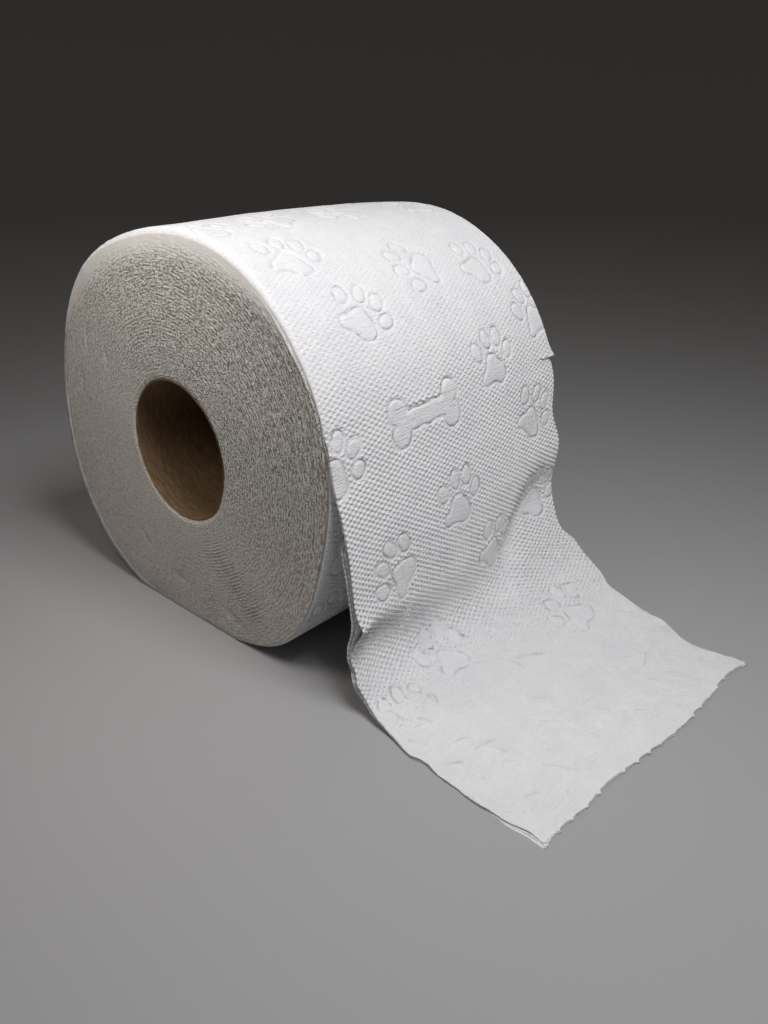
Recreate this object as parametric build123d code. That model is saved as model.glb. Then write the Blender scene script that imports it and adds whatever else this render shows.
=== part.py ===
from build123d import *
import os, math

# Toilet paper roll lying on its side, with its loose end sheet hanging down
# the front and lying out on the surface.
#
# Frame: millimetres, +Z up.  +X runs along the core's axis, +Y points to the
# back, the loose sheet comes off the front (-Y).  The origin is on the resting
# plane, straight under the middle of the core's axis.

# ---------------------------------------------------------------- dimensions
roll_width = 97.0            # width of the paper web = length of the roll
core_outer_d = 42.6          # cardboard tube, outside
core_wall = 0.55             # cardboard tube, wall
core_recess = 0.3            # each end of the tube sits this far inside the paper
core_axis_z = 55.75          # height of the core's axis over the resting plane
flat_half = 16.0             # half length of the flat spot under the soft roll
sheet_thick = 0.6            # embossed three-ply sheet, as bulky as it lies
tab_pitch = 5.1              # perforation: one small torn bond every 5.1 mm
tab_width = 1.1
tab_reach = 0.9              # how far a torn bond stands out of the torn edge

# The wound roll is soft and not quite round.  Distance from the core's axis
# to the outer turn, every 10 degrees: 0 is the back, 90 the top, 180 the front.
outline_r = {
    -60: 61.8, -50: 64.0, -40: 65.3, -30: 65.6, -20: 65.2, -10: 64.3,
    0: 63.0, 10: 61.75, 20: 60.95, 30: 60.75, 40: 61.0, 50: 61.45,
    60: 61.75, 70: 61.9, 80: 62.15, 90: 62.75, 100: 63.7, 110: 64.75,
    120: 65.5, 130: 65.95, 140: 66.15, 150: 66.1, 160: 65.6, 170: 64.45,
    180: 63.0, 190: 61.95, 200: 61.85, 210: 62.6, 220: 63.4, 230: 63.05,
    240: 61.25,
}

# The loose end sheet is one sheet long, from the perforation on the front of
# the roll to the torn end.  Each row is one station down its length, evenly
# spaced: (y, z) of its upper face at the left edge, in the middle and at the
# right edge.  The right side bends out over a low hump, the left side bends
# sharply down to the surface.
sheet_rows = [
    ((-62.2, 75.7), (-62.2, 75.7), (-62.2, 75.8)),
    ((-63.2, 71.9), (-63.1, 71.8), (-63.3, 72.1)),
    ((-64.0, 68.1), (-63.9, 67.9), (-64.1, 68.3)),
    ((-64.7, 64.2), (-64.6, 64.0), (-64.6, 64.4)),
    ((-65.4, 60.3), (-65.4, 60.1), (-65.1, 60.6)),
    ((-66.3, 56.4), (-66.1, 56.3), (-65.9, 56.8)),
    ((-67.2, 52.6), (-66.8, 52.4), (-66.8, 53.0)),
    ((-68.0, 48.7), (-67.5, 48.5), (-67.6, 49.2)),
    ((-68.6, 44.8), (-68.0, 44.6), (-68.0, 45.3)),
    ((-69.1, 40.9), (-68.4, 40.7), (-68.0, 41.4)),
    ((-69.5, 37.0), (-68.6, 36.7), (-67.8, 37.5)),
    ((-69.8, 33.0), (-68.8, 32.8), (-67.8, 33.6)),
    ((-70.1, 29.1), (-68.9, 28.9), (-68.1, 29.8)),
    ((-70.3, 25.1), (-69.1, 24.9), (-68.8, 26.0)),
    ((-70.3, 21.2), (-69.3, 21.0), (-70.0, 22.4)),
    ((-70.2, 17.2), (-69.6, 17.0), (-72.3, 19.4)),
    ((-70.4, 13.3), (-70.3, 13.1), (-75.6, 17.4)),
    ((-71.3, 9.4), (-71.9, 9.5), (-79.2, 15.8)),
    ((-73.2, 6.0), (-74.7, 6.8), (-82.6, 13.7)),
    ((-76.1, 3.5), (-78.2, 5.0), (-85.6, 11.3)),
    ((-79.8, 2.0), (-82.0, 3.8), (-88.7, 9.0)),
    ((-83.7, 1.2), (-85.8, 2.8), (-92.2, 7.1)),
    ((-87.6, 0.85), (-89.6, 1.95), (-95.8, 5.7)),
    ((-91.5, 0.7), (-93.5, 1.3), (-99.6, 4.5)),
    ((-95.5, 0.62), (-97.4, 0.9), (-103.3, 3.5)),
    ((-99.5, 0.6), (-101.4, 0.7), (-107.1, 2.5)),
    ((-103.4, 0.6), (-105.3, 0.62), (-110.9, 1.75)),
    ((-107.4, 0.6), (-109.3, 0.6), (-114.7, 1.15)),
    ((-111.3, 0.6), (-113.2, 0.6), (-118.6, 0.8)),
    ((-115.3, 0.6), (-117.2, 0.6), (-122.5, 0.63)),
    ((-119.2, 0.6), (-121.1, 0.6), (-126.4, 0.6)),
    ((-123.2, 0.6), (-125.1, 0.6), (-130.3, 0.6)),
    ((-127.1, 0.6), (-129.0, 0.6), (-134.2, 0.6)),
    ((-131.1, 0.6), (-132.9, 0.6), (-138.1, 0.6)),
]
# The sheet drifts a little to the left once it reaches the surface:
# sideways shift against the station number.
sheet_drift = [(0, 0.0), (15, 0.0), (18, -0.2), (19, -0.6), (20, -1.2),
               (21, -2.0), (22, -2.7), (23, -3.2), (25, -3.8), (28, -4.7),
               (31, -5.5), (33, -5.6)]
root_inset = 0.35            # the sheet's root runs this far inside the outer turn

half = roll_width / 2


def polar(deg, r):
    a = math.radians(deg)
    return r * math.cos(a), core_axis_z + r * math.sin(a)


def lerp_table(table, q):
    for (a, va), (b, vb) in zip(table, table[1:]):
        if q <= b:
            return va + (vb - va) * (q - a) / (b - a)
    return table[-1][1]


# ------------------------------------------------------------ cardboard core
core_length = roll_width - 2 * core_recess
core_axis = Plane(origin=(0, 0, core_axis_z), x_dir=(0, 1, 0), z_dir=(1, 0, 0))
core = (
    Solid.make_cylinder(core_outer_d / 2, core_length,
                        core_axis.offset(-core_length / 2))
    - Solid.make_cylinder(core_outer_d / 2 - core_wall, core_length + 2,
                          core_axis.offset(-core_length / 2 - 1))
)

# --------------------------------------------------------------- wound turns
# The outline stands on its flat spot and closes over the top in one smooth
# spline.  Two heel points at each end ease it off the flat spot.
pts = [polar(a, r) for a, r in sorted(outline_r.items())]
ring = ([(flat_half, 0.0), (flat_half + 3.6, 0.16), (flat_half + 8.4, 0.85)] + pts
        + [(-flat_half - 8.0, 0.95), (-flat_half - 3.5, 0.18), (-flat_half, 0.0)])
curve = Edge.make_spline([Vector(-half, y, z) for y, z in ring])
base = Edge.make_line(Vector(-half, -flat_half, 0), Vector(-half, flat_half, 0))
end_face = Face(Wire([curve, base]))
turns = Solid.extrude(end_face, Vector(roll_width, 0, 0))
bore = Solid.make_cylinder(core_outer_d / 2, roll_width + 2, core_axis.offset(-half - 1))
turns = turns - bore

# --------------------------------------------------------- loose end sheet
# A lengthwise profile is taken at five places across the web and the sheet is
# lofted through them.  Each profile is a thin closed strip: a smooth curve
# down to where the sheet touches the surface, then straight along it.  The
# strip is made too wide and too long, and its plan outline then cuts it.
root_pts = []
for deg in (147, 151, 155, 159):
    r = lerp_table(sorted(outline_r.items()), deg) - root_inset
    root_pts.append(polar(deg, r))


def strip(x):
    u = x / half
    wl, wm, wr = u * (u - 1) / 2, 1 - u * u, u * (u + 1) / 2
    top = list(root_pts)
    for left, mid, right in sheet_rows[:n_curved]:
        top.append((wl * left[0] + wm * mid[0] + wr * right[0],
                    max(wl * left[1] + wm * mid[1] + wr * right[1], sheet_thick)))
    land = top[-1][0] - 2.5                  # from here it lies flat
    top.append((land, sheet_thick))
    low = []
    for k, (y, z) in enumerate(top):         # lower face: one thickness inside
        y0, z0 = top[max(k - 1, 0)]
        y1, z1 = top[min(k + 1, len(top) - 1)]
        d = math.hypot(y1 - y0, z1 - z0)
        low.append((y - (z1 - z0) / d * sheet_thick, z + (y1 - y0) / d * sheet_thick))
    low[-1] = (land, 0.0)
    low[:-1] = [(y, max(z, 0.0)) for y, z in low[:-1]]
    steps = [k / (len(top) - 1) for k in range(len(top))]

    def spline(pts):
        a, b = pts[0], pts[1]
        d = math.hypot(b[0] - a[0], b[1] - a[1])
        return Edge.make_spline([Vector(x, *q) for q in pts],
                                tangents=[Vector(0, (b[0] - a[0]) / d, (b[1] - a[1]) / d), Vector(0, -1, 0)],
                                parameters=steps)
    upper, lower = spline(top), spline(low)
    far = -148.0
    return Wire([
        upper,
        Edge.make_line(Vector(x, land, sheet_thick), Vector(x, far, sheet_thick)),
        Edge.make_line(Vector(x, far, sheet_thick), Vector(x, far, 0)),
        Edge.make_line(Vector(x, far, 0), Vector(x, land, 0)),
        lower,
        Edge.make_line(Vector(x, *low[0]), Vector(x, *top[0])),
    ])


n_curved = 29
strips = [strip(x) for x in (-57.0, -28.5, 0.0, 26.0, 52.0)]
sheet = Solid.make_loft(strips)

# Plan outline: as wide as the roll where it hangs, drifting to the left where
# it lies, and torn along the perforation at its end, with shallow scallops
# between the small bonds.
left_edge = [Vector(-half + dx, sheet_rows[i][0][0], 0) for i, dx in sheet_drift[1:]]
right_edge = [Vector(half + dx, sheet_rows[i][2][0], 0) for i, dx in sheet_drift[1:]]
end_l, end_r = left_edge[-1], right_edge[-1]
edge_dir = (end_r - end_l).normalized()
out_dir = Vector(edge_dir.Y, -edge_dir.X, 0)
edge_len = (end_r - end_l).length
n_tabs = int(edge_len / tab_pitch)
first = (edge_len - (n_tabs - 1) * tab_pitch) / 2
torn = [end_l]
for k in range(n_tabs):
    c = first + k * tab_pitch
    for off, reach in ((-tab_width / 2 - 0.3, 0.0), (-tab_width / 2, tab_reach),
                       (tab_width / 2, tab_reach), (tab_width / 2 + 0.3, 0.0)):
        torn.append(end_l + edge_dir * (c + off) + out_dir * (reach - tab_reach / 2))
torn.append(end_r)
ends = [Vector(0, -1, 0), Vector(0, -1, 0)]
outline = Wire([
    Edge.make_line(Vector(half, -40, 0), Vector(-half, -40, 0)),
    Edge.make_line(Vector(-half, -40, 0), left_edge[0]),
    Edge.make_spline(left_edge, tangents=ends),
    *[Edge.make_line(p, q) for p, q in zip(torn, torn[1:])],
    Edge.make_spline(right_edge, tangents=ends),
    Edge.make_line(right_edge[0], Vector(half, -40, 0)),
])
plan = Solid.extrude(Face(outline), Vector(0, 0, 120))
sheet = sheet & plan

paper = turns + sheet

os.makedirs("parts", exist_ok=True)
for name, shape in (("cardboard_core", core), ("paper_roll", paper)):
    solids = shape.solids()
    print(name, "solids", len(solids), "volume cm3", round(sum(s.volume for s in solids) / 1000, 2),
          "valid", all(s.is_valid for s in solids))
    print("   box", shape.bounding_box())
    export_step(shape if len(solids) > 1 else solids[0], "parts/" + name + ".step")
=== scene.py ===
import math

import bpy
import numpy as np
from mathutils import Matrix


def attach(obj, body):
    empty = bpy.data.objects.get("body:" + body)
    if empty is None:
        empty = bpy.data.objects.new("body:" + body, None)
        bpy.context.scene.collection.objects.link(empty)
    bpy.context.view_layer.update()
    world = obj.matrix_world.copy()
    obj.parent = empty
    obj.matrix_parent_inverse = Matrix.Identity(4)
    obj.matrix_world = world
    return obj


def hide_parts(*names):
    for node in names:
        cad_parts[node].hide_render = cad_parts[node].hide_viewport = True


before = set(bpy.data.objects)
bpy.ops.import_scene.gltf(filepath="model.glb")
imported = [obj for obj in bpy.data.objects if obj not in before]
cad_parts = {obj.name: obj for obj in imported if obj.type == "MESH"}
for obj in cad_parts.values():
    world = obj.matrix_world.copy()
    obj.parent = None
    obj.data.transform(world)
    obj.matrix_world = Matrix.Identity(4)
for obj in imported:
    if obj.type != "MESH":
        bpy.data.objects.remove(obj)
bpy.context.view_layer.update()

# Everything below is worked out in millimetres in the part's own frame and is
# turned into metres when a mesh is made.
#
# The paper is one web.  A point of it is (x, s): x across the web, s along it.
# s is 0 at the perforation on the front of the roll, grows down the loose
# sheet to its torn end, and is negative up over the roll and round its back.

# ------------------------------------------------------------------ the frame
HALF = 48.5                  # half of the web's width
AXIS_Z = 55.75               # height of the core's axis
BORE_R = 21.3                # hole in the wound paper
FLAT_HALF = 16.0             # half length of the flat spot under the roll
SHEET = 130.2                # length of the loose sheet
PERF = (-62.2, 75.7)         # the perforation, (y, z)

outline_r = {
    -60: 61.8, -50: 64.0, -40: 65.3, -30: 65.6, -20: 65.2, -10: 64.3,
    0: 63.0, 10: 61.75, 20: 60.95, 30: 60.75, 40: 61.0, 50: 61.45,
    60: 61.75, 70: 61.9, 80: 62.15, 90: 62.75, 100: 63.7, 110: 64.75,
    120: 65.5, 130: 65.95, 140: 66.15, 150: 66.1, 160: 65.6, 170: 64.45,
    180: 63.0, 190: 61.95, 200: 61.85, 210: 62.6, 220: 63.4, 230: 63.05,
    240: 61.25,
}
sheet_rows = [
    ((-62.2, 75.7), (-62.2, 75.7), (-62.2, 75.8)),
    ((-63.2, 71.9), (-63.1, 71.8), (-63.3, 72.1)),
    ((-64.0, 68.1), (-63.9, 67.9), (-64.1, 68.3)),
    ((-64.7, 64.2), (-64.6, 64.0), (-64.6, 64.4)),
    ((-65.4, 60.3), (-65.4, 60.1), (-65.1, 60.6)),
    ((-66.3, 56.4), (-66.1, 56.3), (-65.9, 56.8)),
    ((-67.2, 52.6), (-66.8, 52.4), (-66.8, 53.0)),
    ((-68.0, 48.7), (-67.5, 48.5), (-67.6, 49.2)),
    ((-68.6, 44.8), (-68.0, 44.6), (-68.0, 45.3)),
    ((-69.1, 40.9), (-68.4, 40.7), (-68.0, 41.4)),
    ((-69.5, 37.0), (-68.6, 36.7), (-67.8, 37.5)),
    ((-69.8, 33.0), (-68.8, 32.8), (-67.8, 33.6)),
    ((-70.1, 29.1), (-68.9, 28.9), (-68.1, 29.8)),
    ((-70.3, 25.1), (-69.1, 24.9), (-68.8, 26.0)),
    ((-70.3, 21.2), (-69.3, 21.0), (-70.0, 22.4)),
    ((-70.2, 17.2), (-69.6, 17.0), (-72.3, 19.4)),
    ((-70.4, 13.3), (-70.3, 13.1), (-75.6, 17.4)),
    ((-71.3, 9.4), (-71.9, 9.5), (-79.2, 15.8)),
    ((-73.2, 6.0), (-74.7, 6.8), (-82.6, 13.7)),
    ((-76.1, 3.5), (-78.2, 5.0), (-85.6, 11.3)),
    ((-79.8, 2.0), (-82.0, 3.8), (-88.7, 9.0)),
    ((-83.7, 1.2), (-85.8, 2.8), (-92.2, 7.1)),
    ((-87.6, 0.85), (-89.6, 1.95), (-95.8, 5.7)),
    ((-91.5, 0.7), (-93.5, 1.3), (-99.6, 4.5)),
    ((-95.5, 0.62), (-97.4, 0.9), (-103.3, 3.5)),
    ((-99.5, 0.6), (-101.4, 0.7), (-107.1, 2.5)),
    ((-103.4, 0.6), (-105.3, 0.62), (-110.9, 1.75)),
    ((-107.4, 0.6), (-109.3, 0.6), (-114.7, 1.15)),
    ((-111.3, 0.6), (-113.2, 0.6), (-118.6, 0.8)),
    ((-115.3, 0.6), (-117.2, 0.6), (-122.5, 0.63)),
    ((-119.2, 0.6), (-121.1, 0.6), (-126.4, 0.6)),
    ((-123.2, 0.6), (-125.1, 0.6), (-130.3, 0.6)),
    ((-127.1, 0.6), (-129.0, 0.6), (-134.2, 0.6)),
    ((-131.1, 0.6), (-132.9, 0.6), (-138.1, 0.6)),
]
sheet_drift = [(0, 0.0), (15, 0.0), (18, -0.2), (19, -0.6), (20, -1.2),
               (21, -2.0), (22, -2.7), (23, -3.2), (25, -3.8), (28, -4.7),
               (31, -5.5), (33, -5.6)]


# ---------------------------------------------------------------- small maths
def cubic(t, p):
    """The natural cubic spline through the points p at the parameters t."""
    t, p = np.asarray(t, float), np.asarray(p, float)
    flat = p.ndim == 1
    if flat:
        p = p[:, None]
    n, h = len(t), np.diff(t)
    a, b = np.zeros((n, n)), np.zeros((n, p.shape[1]))
    a[0, 0] = a[-1, -1] = 1.0
    for i in range(1, n - 1):
        a[i, i - 1], a[i, i], a[i, i + 1] = h[i - 1], 2 * (h[i - 1] + h[i]), h[i]
        b[i] = 6 * ((p[i + 1] - p[i]) / h[i] - (p[i] - p[i - 1]) / h[i - 1])
    m = np.linalg.solve(a, b)

    def at(q):
        q = np.asarray(q, float)
        i = np.clip(np.searchsorted(t, q, side="right") - 1, 0, n - 2)
        w, v, k = (q - t[i])[..., None], (t[i + 1] - q)[..., None], h[i][..., None]
        out = ((m[i] * v**3 + m[i + 1] * w**3) / (6 * k)
               + (p[i] / k - m[i] * k / 6) * v + (p[i + 1] / k - m[i + 1] * k / 6) * w)
        return out[..., 0] if flat else out
    return at


def step(a, b, v):
    w = np.clip((np.asarray(v, float) - a) / (b - a), 0, 1)
    return w * w * (3 - 2 * w)


def bell(v, width):
    return np.exp(-(np.asarray(v, float) / width) ** 2)


def noise2(x, y, cell_x, cell_y, seed, wrap=512):
    """Smooth noise of about -1 to 1, with cells of the given size.  It comes
    round again along x after wrap cells."""
    table = np.random.default_rng(seed).uniform(-1, 1, (512, 512))
    x, y = np.broadcast_arrays(np.asarray(x, float) / cell_x, np.asarray(y, float) / cell_y)
    x, y = x + 0.37, y + 0.71
    i, j = np.floor(x).astype(int), np.floor(y).astype(int)
    u, v = x - i, y - j
    u, v = u**3 * (u * (u * 6 - 15) + 10), v**3 * (v * (v * 6 - 15) + 10)
    i, i1, j, j1 = i % wrap, (i + 1) % wrap, j % 512, (j + 1) % 512
    return ((table[i, j] * (1 - u) + table[i1, j] * u) * (1 - v)
            + (table[i, j1] * (1 - u) + table[i1, j1] * u) * v)


def fractal(x, y, cell_x, cell_y, seed, layers=3):
    return sum(noise2(x, y, cell_x / 2**k, cell_y / 2**k, seed + k) / 2**k
               for k in range(layers)) / (2 - 0.5 ** (layers - 1))


# --------------------------------------------------------- the roll's outline
def polar(deg, r):
    a = math.radians(deg)
    return r * math.cos(a), AXIS_Z + r * math.sin(a)


ring = np.array([(FLAT_HALF, 0.0), (FLAT_HALF + 3.6, 0.16), (FLAT_HALF + 8.4, 0.85)]
                + [polar(a, r) for a, r in sorted(outline_r.items())]
                + [(-FLAT_HALF - 8.0, 0.95), (-FLAT_HALF - 3.5, 0.18), (-FLAT_HALF, 0.0)])
chord = np.concatenate([[0], np.cumsum(np.hypot(*np.diff(ring, axis=0).T))])
loop = cubic(chord, ring)(np.linspace(0, chord[-1], 7001))
loop[:, 1] = np.maximum(loop[:, 1], 0)
under = np.stack([np.linspace(-FLAT_HALF, FLAT_HALF, 401), np.zeros(401)], 1)
loop = np.vstack([loop, under[1:]])
loop_c = np.concatenate([[0], np.cumsum(np.hypot(*np.diff(loop, axis=0).T))])
ROUND = loop_c[-1]                                   # once round the roll
c_perf = loop_c[np.argmin(np.hypot(loop[:, 0] - PERF[0], loop[:, 1] - PERF[1]))]
even = np.linspace(0, ROUND, 8001)
even_p = np.stack([np.interp(even, loop_c, loop[:, k]) for k in (0, 1)], 1)[:-1]
t_ = np.roll(even_p, -6, 0) - np.roll(even_p, 6, 0)
t_ /= np.hypot(*t_.T)[:, None]
even_n = np.stack([t_[:, 1], -t_[:, 0]], 1)
even_p, even_n = np.vstack([even_p, even_p[:1]]), np.vstack([even_n, even_n[:1]])


def roll_at(s):
    """(y, z) of the outer turn at s, and its outward normal."""
    c = np.mod(c_perf + np.asarray(s, float), ROUND)
    p = np.stack([np.interp(c, even, even_p[:, k]) for k in (0, 1)], -1)
    n = np.stack([np.interp(c, even, even_n[:, k]) for k in (0, 1)], -1)
    return p, n / np.linalg.norm(n, axis=-1)[..., None]


# ------------------------------------------------------------ the loose sheet
stations = np.arange(len(sheet_rows), dtype=float)
row_at = cubic(stations, np.array(sheet_rows, float).reshape(len(sheet_rows), 6))
drift_at = cubic([a for a, _ in sheet_drift], [b for _, b in sheet_drift])


def sheet_base(x, s):
    """The upper face of the loose sheet, without its relief."""
    x, s = np.broadcast_arrays(np.asarray(x, float), np.asarray(s, float))
    q = s * (len(sheet_rows) - 1) / SHEET
    r, u = row_at(q), x / HALF
    wl, wm, wr = u * (u - 1) / 2, 1 - u * u, u * (u + 1) / 2
    y = wl * r[..., 0] + wm * r[..., 2] + wr * r[..., 4]
    z = wl * r[..., 1] + wm * r[..., 3] + wr * r[..., 5]
    drift = np.where(q > 15, drift_at(q), 0.0)
    return np.stack([x + drift, y, np.maximum(z, 0.58)], -1)


def normals_of(point, x, s, e=0.05):
    """Unit normals of a surface point(x, s), outwards."""
    a = point(x + e, s) - point(x - e, s)
    b = point(x, s + e) - point(x, s - e)
    n = np.cross(b, a)
    return n / np.linalg.norm(n, axis=-1)[..., None]


# ------------------------------------------------------------- the embossing
# Small round bumps on an exact hexagonal lattice, 1.5 mm apart, over the whole
# web.  Among them stand smooth, slightly puffed motifs with pressed outlines:
# animal paws, and plain bones.
PAW_TOES = [(-6.0, -6.0, 2.1, 2.8, -14), (-0.7, -9.0, 2.0, 2.85, -3),
            (4.7, -8.7, 2.0, 2.85, 8), (8.0, -4.3, 2.0, 2.7, 24)]
PAW_PAD = [(0.3, -4.7), (3.0, -2.7), (5.4, 0.9), (4.4, 3.4), (1.7, 4.3),
           (-1.5, 3.3), (-4.6, 3.7), (-5.7, 1.3), (-3.4, -1.5), (-1.9, -3.9)]
BONE_KNOBS = [(-10.6, -3.0, 3.5), (-10.4, 3.1, 3.4), (10.4, -3.1, 3.4), (10.6, 3.0, 3.5)]


def closed_curve(points, n=48):
    """A smooth closed curve through the points, as a polygon."""
    p = np.array(points, float)
    k = len(p)
    t = np.arange(-3, k + 4)
    return cubic(t, p[t % k])(np.linspace(0, k, n, endpoint=False))


def polygon_distance(px, py, poly):
    """Signed distance to a polygon, negative inside."""
    best = np.full(px.shape, 1e9)
    inside = np.zeros(px.shape, bool)
    for (ax, ay), (bx, by) in zip(poly, np.roll(poly, -1, 0)):
        ex, ey = bx - ax, by - ay
        t = np.clip(((px - ax) * ex + (py - ay) * ey) / (ex * ex + ey * ey), 0, 1)
        best = np.minimum(best, np.hypot(px - ax - t * ex, py - ay - t * ey))
        if ay != by:
            inside ^= ((ay > py) != (by > py)) & (px < (bx - ax) * (py - ay) / (by - ay) + ax)
    return np.where(inside, -best, best)


def oval_distance(px, py, cx, cy, rx, ry, deg):
    a = math.radians(deg)
    dx, dy = px - cx, py - cy
    u, v = dx * math.cos(a) + dy * math.sin(a), -dx * math.sin(a) + dy * math.cos(a)
    k0 = np.sqrt((u / rx) ** 2 + (v / ry) ** 2) + 1e-9
    k1 = np.sqrt((u / rx**2) ** 2 + (v / ry**2) ** 2) + 1e-9
    return k0 * (k0 - 1) / k1


pad_poly = closed_curve(PAW_PAD)


def paw_distance(px, py):
    d = polygon_distance(px, py, pad_poly)
    for toe in PAW_TOES:
        d = np.minimum(d, oval_distance(px, py, *toe))
    return d


def bone_distance(px, py):
    d = np.maximum(np.abs(px) - 11.0, np.abs(py) - 3.0 + 0.35 * np.cos(px / 8.0))
    for cx, cy, r in BONE_KNOBS:
        e = np.hypot(px - cx, py - cy) - r
        h = np.clip(0.5 + 0.5 * (e - d) / 0.8, 0, 1)          # soft union
        d = e * (1 - h) + d * h - 0.8 * h * (1 - h)
    return d


# (kind, x, s, turn in degrees anticlockwise as the sheet hangs)
MOTIFS = [
    ("paw", -25.5, -23.3, -37), ("paw", 8.8, -35.3, 84), ("paw", -33.5, -44.0, -18),
    ("paw", 19.5, -1.5, 3), ("bone", -12.3, 3.6, 3), ("paw", -48.5, 11.0, -28),
    ("paw", -3.5, 33.3, 0), ("paw", -28.6, 43.6, 54), ("paw", 34.5, 17.7, -35),
    ("paw", 13.0, 53.3, -31), ("paw", 38.5, 46.5, -20), ("paw", -16.5, 76.0, 8),
    ("paw", 30.2, 86.5, 30), ("paw", -40.5, 84.0, -20), ("bone", 4.0, 104.0, 10),
    ("paw", -27.0, 112.0, 40), ("paw", 38.0, 118.0, -10), ("paw", 29.8, -31.5, -35),
    ("paw", 45.5, -12.0, 20),
]
# The rest of the roll carries the same motifs, strewn evenly.
_r = np.random.default_rng(11)
for row in range(15):
    for col in range(4):
        mx = -41 + col * 25.5 + (12.5 if row % 2 else 0) + _r.uniform(-3.5, 3.5)
        ms = -64 - row * 22.6 + _r.uniform(-3.5, 3.5)
        kind = "bone" if (row * 4 + col * 3) % 5 == 2 else "paw"
        turn = _r.uniform(-60, 60) if kind == "paw" else _r.uniform(-50, 50)
        MOTIFS.append((kind, mx, ms, turn))


def motif_distance(x, s):
    """Signed distance to the nearest motif's outline on a grid of x and s."""
    d = np.full(x.shape, 50.0)
    x = x + 0.28 * noise2(x, s, 2.6, 2.6, 43) + 0.10 * noise2(x, s, 1.1, 1.1, 44)
    s = s + 0.28 * noise2(x, s, 2.6, 2.6, 45) + 0.10 * noise2(x, s, 1.1, 1.1, 46)
    for kind, cx, cs, deg in MOTIFS:
        near = (np.abs(x - cx) < 18) & (np.abs(s - cs) < 18)
        if not near.any():
            continue
        a = math.radians(deg)
        dx, dy = x[near] - cx, s[near] - cs
        u = dx * math.cos(a) - dy * math.sin(a)
        v = dx * math.sin(a) + dy * math.cos(a)
        d[near] = np.minimum(d[near], (paw_distance if kind == "paw" else bone_distance)(u, v))
    return d


# How strong the small bumps are: worn flat on top of the roll, full down the
# hanging sheet, nearly gone where the sheet lies on the surface.
dot_strength = cubic([-400, -330, -230, -150, -110, -75, -35, -23, -10, 0, 10, 22, 40, 60, 66, 88, 96, 112, 135],
                     [0.9, 0.9, 0.9, 0.38, 0.3, 0.27, 0.32, 0.40, 0.58, 0.8, 1.1, 1.4, 1.8, 1.8, 1.5, 0.28, 0.2, 0.18,
                      0.17])


def relief(x, s, dots=1.0, motifs=1.0, in_bump=0.0):
    """Height of the embossing over the smooth surface, and the part of it that
    is left to the material's bump, which also paints shade along the pressed
    lines.  in_bump 1 leaves all the dots to the bump."""
    x, s = np.broadcast_arrays(np.asarray(x, float), np.asarray(s, float))
    a, b, c = (2 * np.pi * (x / 2.6 + s / 1.5), 2 * np.pi * (x / 2.6 - s / 1.5),
               2 * np.pi * x / 1.3)
    bump = (np.cos(a) + np.cos(b) + np.cos(c) + 1.5) / 4.5
    d = motif_distance(x, s)
    strength = dots * (0.9 + 0.3 * fractal(x, s, 9, 9, 31))
    h = 0.36 * (1 - in_bump) * (bump - 0.33) * strength * step(0.3, 1.0, d)
    press = motifs * (0.85 + 0.3 * noise2(x, s, 5, 5, 41))
    h = h - 0.20 * press * (1.9 - 0.9 * np.minimum(strength, 1)) * bell(d, 0.45)
    h = h + 0.10 * press * step(0.1, 0.9, -d)
    h = h + 0.06 * press * step(0.2, 1.6, -d) * fractal(x, s, 2.4, 2.4, 55)
    fine = np.stack([0.5 * strength * (1 + in_bump), 0.5 + 0.1 * np.clip(d, -4, 4)], -1)
    return h, fine


# ------------------------------------------------------------- mesh making
def new_object(name, verts, polys, smooth, material, uv, emboss=None):
    """verts in mm; polys is a list of (m, k) arrays of k-gons and of single
    tuples; smooth is one flag for each poly of the joined list.  uv is the
    place in the web; emboss carries the depth of the fine dots and the
    distance to the nearest motif, which the material's bump and its painted
    shade along the pressed lines read.  On the wound ends it carries where
    the grain shows and the painted shade of their ridges."""
    sizes, flat = [], []
    for p in polys:
        if isinstance(p, np.ndarray):
            sizes.append(np.full(len(p), p.shape[1]))
            flat.append(p.ravel())
        else:
            sizes.append(np.array([len(p)]))
            flat.append(np.array(p))
    sizes, flat = np.concatenate(sizes), np.concatenate(flat)
    starts = np.concatenate([[0], np.cumsum(sizes)[:-1]])
    verts = np.asarray(verts, float)
    # one signed volume for the closed mesh says which way its faces turn
    v0 = verts[flat[starts]]
    vol = 0.0
    for k in range(1, sizes.max() - 1):
        ok = sizes > k + 1
        a, b = verts[flat[starts[ok] + k]], verts[flat[starts[ok] + k + 1]]
        vol += np.einsum("ij,ij->i", v0[ok], np.cross(a, b)).sum()
    if vol < 0:
        ends = starts + sizes
        order = np.arange(len(flat))
        back = np.repeat(starts + ends - 1, sizes) - order
        flat = flat[back]
    me = bpy.data.meshes.new(name)
    me.vertices.add(len(verts))
    me.vertices.foreach_set("co", (verts * 0.001).astype(np.float32).ravel())
    me.loops.add(len(flat))
    me.loops.foreach_set("vertex_index", flat.astype(np.int32))
    me.polygons.add(len(sizes))
    me.polygons.foreach_set("loop_start", starts.astype(np.int32))
    me.polygons.foreach_set("loop_total", sizes.astype(np.int32))
    me.polygons.foreach_set("use_smooth", np.asarray(smooth, bool))
    me.update(calc_edges=True)
    me.validate()
    at = np.zeros(len(me.loops), np.int32)
    me.loops.foreach_get("vertex_index", at)
    layer = me.uv_layers.new(name="web")
    layer.uv.foreach_set("vector", (np.asarray(uv)[at] * 0.01).astype(np.float32).ravel())
    if emboss is not None:
        layer = me.uv_layers.new(name="emboss")
        layer.uv.foreach_set("vector", np.asarray(emboss)[at].astype(np.float32).ravel())
    me.materials.append(material)
    ob = bpy.data.objects.new(name, me)
    bpy.context.scene.collection.objects.link(ob)
    return ob


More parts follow.
